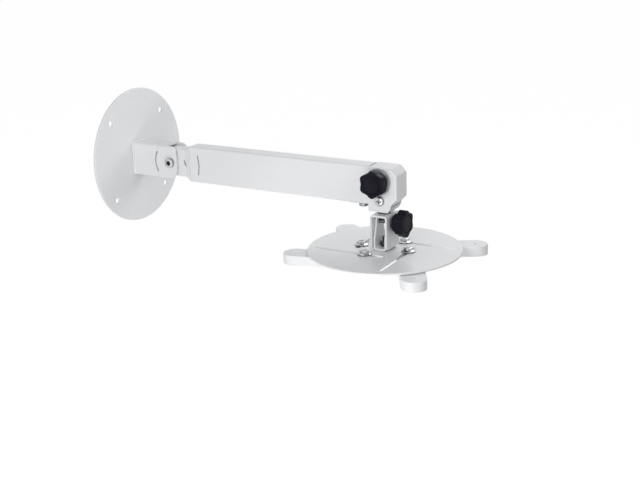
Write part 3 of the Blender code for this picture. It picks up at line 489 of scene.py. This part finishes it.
def makeKnob():
    edge, bottom, top = knob["edge"], knob["hubLength"], knob["length"]
    rings = [(0, roundRing(knob["hubRadius"])), (bottom, roundRing(knob["hubRadius"]))]
    for angle in quarterTurn(knob["edgeSteps"]):
        rings.append((bottom + edge * (1 - math.cos(angle)), lobedRing(edge * (1 - math.sin(angle)))))
    for angle in quarterTurn(knob["edgeSteps"]):
        rings.append((top - edge * (1 - math.sin(angle)), lobedRing(edge * (1 - math.cos(angle)))))
    cap, rim, edge = knob["capRadius"], knob["capRadius"] + knob["capGroove"], knob["capEdge"]
    rings += [
        (top, roundRing(rim)),  # down into the groove
        (top - knob["capDrop"], roundRing(rim - edge)),
        (top - knob["capDrop"], roundRing(cap + edge)),  # and up to the cap
        (top - knob["capSink"] - edge, roundRing(cap)),
        (top - knob["capSink"], roundRing(cap - edge)),
    ]
    return loft("knobForm", knob["sides"], rings)


def addKnobs():
    form = makeKnob()
    tilt = placed(form, "tiltKnobGrip", againstY, span("tilt_knob", againstY)[0])
    seat(tilt, "tilt_clamp", "black_plastic", "tilt_knob")
    roll = placed(form, "rollKnobGrip", alongX, span("roll_knob", alongX)[0], knob["rollSpin"])
    seat(roll, "roll_clamp", "black_plastic", "roll_knob")
    discard(form)


addKnobs()
print("knobs made")


# bolts and studs: thread grooves, and a head with a socket or a cross where the dictionary says so
thread = {"pitch": 0.0010, "depth": 0.0006, "lead": 0.0008, "sides": 32, "crownSteps": 4}
pivotBolt = {
    "shank": 0.004, "headHeight": 0.0045, "crown": 0.0007,
    "socketAcross": 0.0064, "socketDepth": 0.0034,
}
lockScrew = {
    "shank": 0.003, "headHeight": 0.004, "crown": 0.0009,
    "socketAcross": 0.004, "socketDepth": 0.002,
}
crossBolt = {
    "shank": 0.003, "headHeight": 0.0035, "crown": 0.0020,
    "crossLength": 0.0072, "crossWidth": 0.0011, "crossDepth": 0.0017,
}
swivelBolt = {"shank": 0.003, "headHeight": 0.004, "crown": 0.0012}
armBolt = {"shank": 0.003, "headHeight": 0.0035, "crown": 0.0012}
stud = {}  # no head, and as thick as its solid


def hexCorner(acrossFlats):
    return acrossFlats / 2 / math.cos(math.pi / 6)


def threadedPin(name, size, length, radius):
    # along Z: a crowned head at the bottom, thread grooves up to a chamfered tip
    shank, head, crown = size.get("shank", radius), size.get("headHeight", 0), size.get("crown", 0)
    profile = [(0, 0)]
    if head:
        for angle in quarterTurn(thread["crownSteps"]):
            profile.append((radius - crown + crown * math.sin(angle), crown - crown * math.cos(angle)))
        profile.append((radius, head))
    profile.append((shank, head))
    height = head + thread["pitch"]
    while height < length - thread["lead"] - thread["pitch"]:
        profile.append((shank, height))
        profile.append((shank - thread["depth"], height + thread["pitch"] / 2))
        height += thread["pitch"]
    profile += [(shank, height), (shank - thread["lead"], length), (0, length)]
    return spun(name, profile, thread["sides"])


def cutCross(pin, size):
    # two blades across the head for the driver
    for turn in (0, math.pi / 2):
        deselect()
        bpy.ops.mesh.primitive_cube_add(size=1, location=(0, 0, 0))
        blade = newest("blade")
        scale = Matrix.Diagonal((size["crossLength"], size["crossWidth"], 2 * size["crossDepth"], 1))
        blade.matrix_world = Matrix.Rotation(turn, 4, "Z") @ scale
        carve(pin, blade)


def addPin(name, node, body, slot, toward, size, finish=None):
    # a bolt or stud along an axis, in the place of its solid
    at, length, radius = span(node, toward)
    form = threadedPin("pinForm", size, length, radius)
    if "socketAcross" in size:
        carve(form, cylinder("socket", hexCorner(size["socketAcross"]), -cutPast, size["socketDepth"], 6))
    if "crossLength" in size:
        cutCross(form, size)
    pin = placed(form, name, toward, at)
    discard(form)
    seat(pin, body, slot, node, finish=finish)


# nuts: a hexagon cut by a round chamfer
chamfer = {"fall": 0.62, "inside": 0.96, "outside": 1.1, "sides": 48, "boreSides": 32}
largeNut = {"acrossFlats": 0.013, "bore": 0.0042, "edge": 0.00015, "edgeSteps": 2}
smallNut = {"acrossFlats": 0.010, "bore": 0.0032, "edge": 0.00015, "edgeSteps": 2}


def chamferedHex(name, acrossFlats, low, high, under=True):
    # chamfered on top, and under it too unless it stands on a flange
    corner, flat = hexCorner(acrossFlats), acrossFlats / 2
    inside, outside = flat * chamfer["inside"], corner * chamfer["outside"]
    fall = (corner - flat) * chamfer["fall"]
    profile = [(0, low), (inside, low), (outside, low + fall)] if under else [(0, low), (outside, low)]
    profile += [(outside, high - fall), (inside, high), (0, high)]
    lathed = spun("chamferForm", profile, chamfer["sides"])
    nut = cylinder(name, corner, low, high, 6)
    carve(nut, lathed, "INTERSECT")
    return nut


def cutBore(nut, radius, low, high):
    carve(nut, cylinder("bore", radius, low - cutPast, high + cutPast, chamfer["boreSides"]))


def addHexNut(name, node, body, slot, toward, size):
    # a plain nut along an axis, in the place of its solid
    at, length, _ = span(node, toward)
    form = chamferedHex("nutForm", size["acrossFlats"], 0, length)
    cutBore(form, size["bore"], 0, length)
    soften(form, size["edge"], size["edgeSteps"])
    nut = placed(form, name, toward, at)
    discard(form)
    seat(nut, body, slot, node)


# flange nuts: a hexagon on a round skirt that slopes up to it
flange = {
    "acrossFlats": 0.0100, "rim": 0.0011, "slope": 0.0024, "waist": 1.02, "height": 0.0058, "bore": 0.0031,
    "lip": 0.0002, "sink": 0.5, "sides": 64, "edge": 0.00018, "edgeSteps": 2,
}


def makeFlangeNut(radius):
    rim, lip, slope, height = (flange[key] for key in ("rim", "lip", "slope", "height"))
    waist = flange["acrossFlats"] / 2 * flange["waist"]
    profile = [
        (0, 0), (radius - lip, 0), (radius, lip), (radius, rim),
        (radius - lip, rim + lip), (waist, slope), (0, slope),
    ]
    nut = spun("flangeNutForm", profile, flange["sides"])
    carve(nut, chamferedHex("hexForm", flange["acrossFlats"], rim * flange["sink"], height, False), "UNION")
    cutBore(nut, flange["bore"], 0, height)
    soften(nut, flange["edge"], flange["edgeSteps"])
    return nut


def addArmFasteners():
    form = makeFlangeNut(span("flange_nut_left", alongZ)[2])
    for side in ("left", "front", "right", "rear"):
        nut = placed(form, side + "FlangeNut", alongZ, span("flange_nut_" + side, alongZ)[0])
        seat(nut, "slider_" + side, "bright_zinc", "flange_nut_" + side)
        addPin(side + "ArmBolt", "arm_bolt_" + side, "slider_" + side, "bright_zinc", alongZ, armBolt)
    discard(form)


addArmFasteners()
addHexNut("pivotHexNut", "pivot_nut", "wall", "bright_zinc", alongY, largeNut)
addHexNut("tiltHexNut", "tilt_nut", "head", "bright_zinc", alongY, largeNut)
addHexNut("crossHexNut", "cross_nut", "head", "bright_zinc", alongY, smallNut)
addHexNut("rollHexNut", "roll_nut", "head", "bright_zinc", againstX, smallNut)
addHexNut("swivelHexNut", "swivel_nut", "cradle", "dark_steel", alongZ, smallNut)
addPin("pivotCapBolt", "pivot_bolt", "wall", "bright_zinc", alongY, pivotBolt)
addPin("crossHeadBolt", "cross_bolt", "head", "bright_zinc", alongY, crossBolt)
addPin("lockCapScrew", "lock_screw", "arm", "bright_zinc", alongZ, lockScrew, finish="dull_zinc")
addPin("swivelThreadedBolt", "swivel_bolt", "cradle", "dark_steel", alongZ, swivelBolt)
addPin("tiltThreadedStud", "tilt_stud", "tilt_clamp", "bright_zinc", alongY, stud)
addPin("rollThreadedStud", "roll_stud", "roll_clamp", "bright_zinc", againstX, stud)
print("fasteners made")


# weld bead: a rippled run over the bracket's root, cutting its two upper corners
weld = {
    "radius": 0.0011, "ripple": 0.16, "spacing": 0.0013, "sink": 0.3,
    "corner": 0.0025, "bulge": 0.3, "round": 2,
}


def addWeld():
    low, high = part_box("wall_bracket")
    root = low.x + weld["radius"] * weld["sink"]
    turn, bulge = weld["corner"], weld["corner"] * weld["bulge"]
    corners = [Vector((root, y, z)) for y, z in (
        (low.y, low.z), (low.y, high.z - turn), (low.y + bulge, high.z - bulge), (low.y + turn, high.z),
        (high.y - turn, high.z), (high.y - bulge, high.z - bulge), (high.y, high.z - turn), (high.y, low.z),
    )]
    points = []
    for first, second in zip(corners, corners[1:]):
        count = max(2, round((second - first).length / weld["spacing"]))
        points += [first.lerp(second, i / count) for i in range(count)]
    points.append(corners[-1])

    curve = bpy.data.curves.new("bracketWeld", "CURVE")
    curve.dimensions, curve.bevel_depth, curve.bevel_resolution = "3D", weld["radius"], weld["round"]
    curve.use_fill_caps = True
    spline = curve.splines.new("POLY")
    spline.points.add(len(points) - 1)
    for i, point in enumerate(points):  # every second step a little fatter
        spline.points[i].co = (*point, 1)
        spline.points[i].radius = 1 + weld["ripple"] * (1 if i % 2 else -1)
    run = bpy.data.objects.new("bracketWeld", curve)
    bpy.context.scene.collection.objects.link(run)
    pick(run)
    bpy.ops.object.convert(target="MESH")
    seat(bpy.context.active_object, "wall", "powder_white")


addWeld()
print("weld made")


# friction ring on the cheek behind the tilt knob, its grey partly the ring's own tone and partly the knob's
# painted shadow on the cheek
ring = {
    "radius": 0.0174, "height": 0.0011, "bore": 0.0130, "sides": 96, "boreSides": 64,
    "edge": 0.0005, "edgeSteps": 3,
}


def addRing():
    cheek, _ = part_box("head_bracket")
    centre = middle("tilt_knob_washer")
    form = cylinder("ringForm", ring["radius"], 0, ring["height"], ring["sides"])
    carve(form, cylinder("ringBore", ring["bore"], -cutPast, ring["height"] + cutPast, ring["boreSides"]))
    soften(form, ring["edge"], ring["edgeSteps"])
    piece = placed(form, "cheekBoss", againstY, (centre.x, cheek.y, centre.z))
    discard(form)
    seat(piece, "head", "nylon", finish="shadow_grey_nylon")


addRing()
print("ring made")


# lip turned up at the front of the head's floor, with a thin slit above it
lip = {
    "sheet": 0.0025, "slit": 0.0012, "footBack": 0.0125, "run": 0.0040, "rise": 0.0065, "inset": 0.0026,
    "overlap": 0.9, "edge": 0.0006, "edgeSteps": 3,
}


def addLip():
    low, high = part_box("head_bracket")
    slope = lip["run"] / lip["rise"]  # of the cheeks' slanted foot
    base = low.z + lip["sheet"] * lip["overlap"]
    top = low.z + lip["rise"] + lip["sheet"] / 2 - lip["slit"]
    front = high.x - lip["footBack"] + (base - low.z) * slope
    deselect()
    bpy.ops.mesh.primitive_cube_add(
        size=1, location=(front - lip["sheet"] / 2, (low.y + high.y) / 2, (base + top) / 2))
    plate = newest("headLip")
    plate.scale = (lip["sheet"], high.y - low.y - 2 * lip["inset"], top - base)
    settle()
    startEdit()
    form = bmesh.from_edit_mesh(plate.data)
    for vert in form.verts:  # lean it along the foot: its top edge moves out
        vert.select = vert.co.z > (base + top) / 2
    form.select_flush_mode()
    bmesh.update_edit_mesh(plate.data)
    bpy.ops.transform.translate(value=((top - base) * slope, 0, 0))
    closeEdit()
    soften(plate, lip["edge"], lip["edgeSteps"])
    seat(plate, "head", "powder_white")


addLip()
print("lip made")


# room: a pale floor, an even white surround and four soft lamps
room = {
    "floorHeight": -0.55, "floorSize": 60.0, "floorColor": (0.80, 0.80, 0.80, 1), "floorRough": 1.0,
    "floorLift": 0.64, "worldFill": 0.44, "white": (1, 1, 1, 1), "lookAt": (0.2, 0.0, 0.0),
}
# name, watts, place, size across
lamps = (
    ("keyLamp", 4.5, (0.46, -1.10, 0.30), 0.5),
    ("sideLamp", 0.5, (1.00, -0.40, 0.20), 0.5),
    ("rearLamp", 0.85, (0.36, 0.35, 0.25), 0.3),
    ("lowLamp", 0.72, (0.42, -0.42, -0.30), 0.3),
)


def addLamp(name, power, place, size):
    data = bpy.data.lights.new(name, "AREA")
    data.energy, data.shape, data.size = power, "DISK", size
    lamp = bpy.data.objects.new(name, data)
    lamp.location = place
    lamp.rotation_euler = (Vector(place) - Vector(room["lookAt"])).to_track_quat("Z", "Y").to_euler()
    lamp.visible_camera = False
    bpy.context.scene.collection.objects.link(lamp)


def seenDirectly(tree, low, high):
    # low for rays that light a surface, high for what the camera, metal and glass see
    path = tree.nodes.new("ShaderNodeLightPath")
    seen = path.outputs["Is Camera Ray"]
    for ray in ("Is Glossy Ray", "Is Transmission Ray"):
        either = tree.nodes.new("ShaderNodeMath")
        either.operation = "MAXIMUM"
        tree.links.new(seen, either.inputs[0])
        tree.links.new(path.outputs[ray], either.inputs[1])
        seen = either.outputs[0]
    level = tree.nodes.new("ShaderNodeMapRange")
    level.inputs["To Min"].default_value, level.inputs["To Max"].default_value = low, high
    tree.links.new(seen, level.inputs["Value"])
    return level.outputs[0]


def addFloor():
    deselect()
    bpy.ops.mesh.primitive_plane_add(size=room["floorSize"], location=(0, 0, room["floorHeight"]))
    floor = newest("floor")
    settle()
    paint = bpy.data.materials.new("paleFloor")
    paint.use_nodes = True
    shader = paint.node_tree.nodes["Principled BSDF"]
    shader.inputs["Base Color"].default_value = room["floorColor"]
    shader.inputs["Roughness"].default_value = room["floorRough"]
    shader.inputs["Specular IOR Level"].default_value = 0.0
    shader.inputs["Emission Color"].default_value = room["white"]
    lift = seenDirectly(paint.node_tree, 0.0, room["floorLift"])
    paint.node_tree.links.new(lift, shader.inputs["Emission Strength"])
    floor.data.materials.append(paint)


def addWorld():
    world = bpy.data.worlds.new("whiteRoom")
    bpy.context.scene.world = world
    world.use_nodes = True
    back = world.node_tree.nodes["Background"]
    back.inputs["Color"].default_value = room["white"]
    world.node_tree.links.new(seenDirectly(world.node_tree, room["worldFill"], 1.0), back.inputs["Strength"])


addFloor()
addWorld()
for lampValues in lamps:
    addLamp(*lampValues)
bpy.context.scene.view_settings.view_transform = "Standard"
print("room ready")
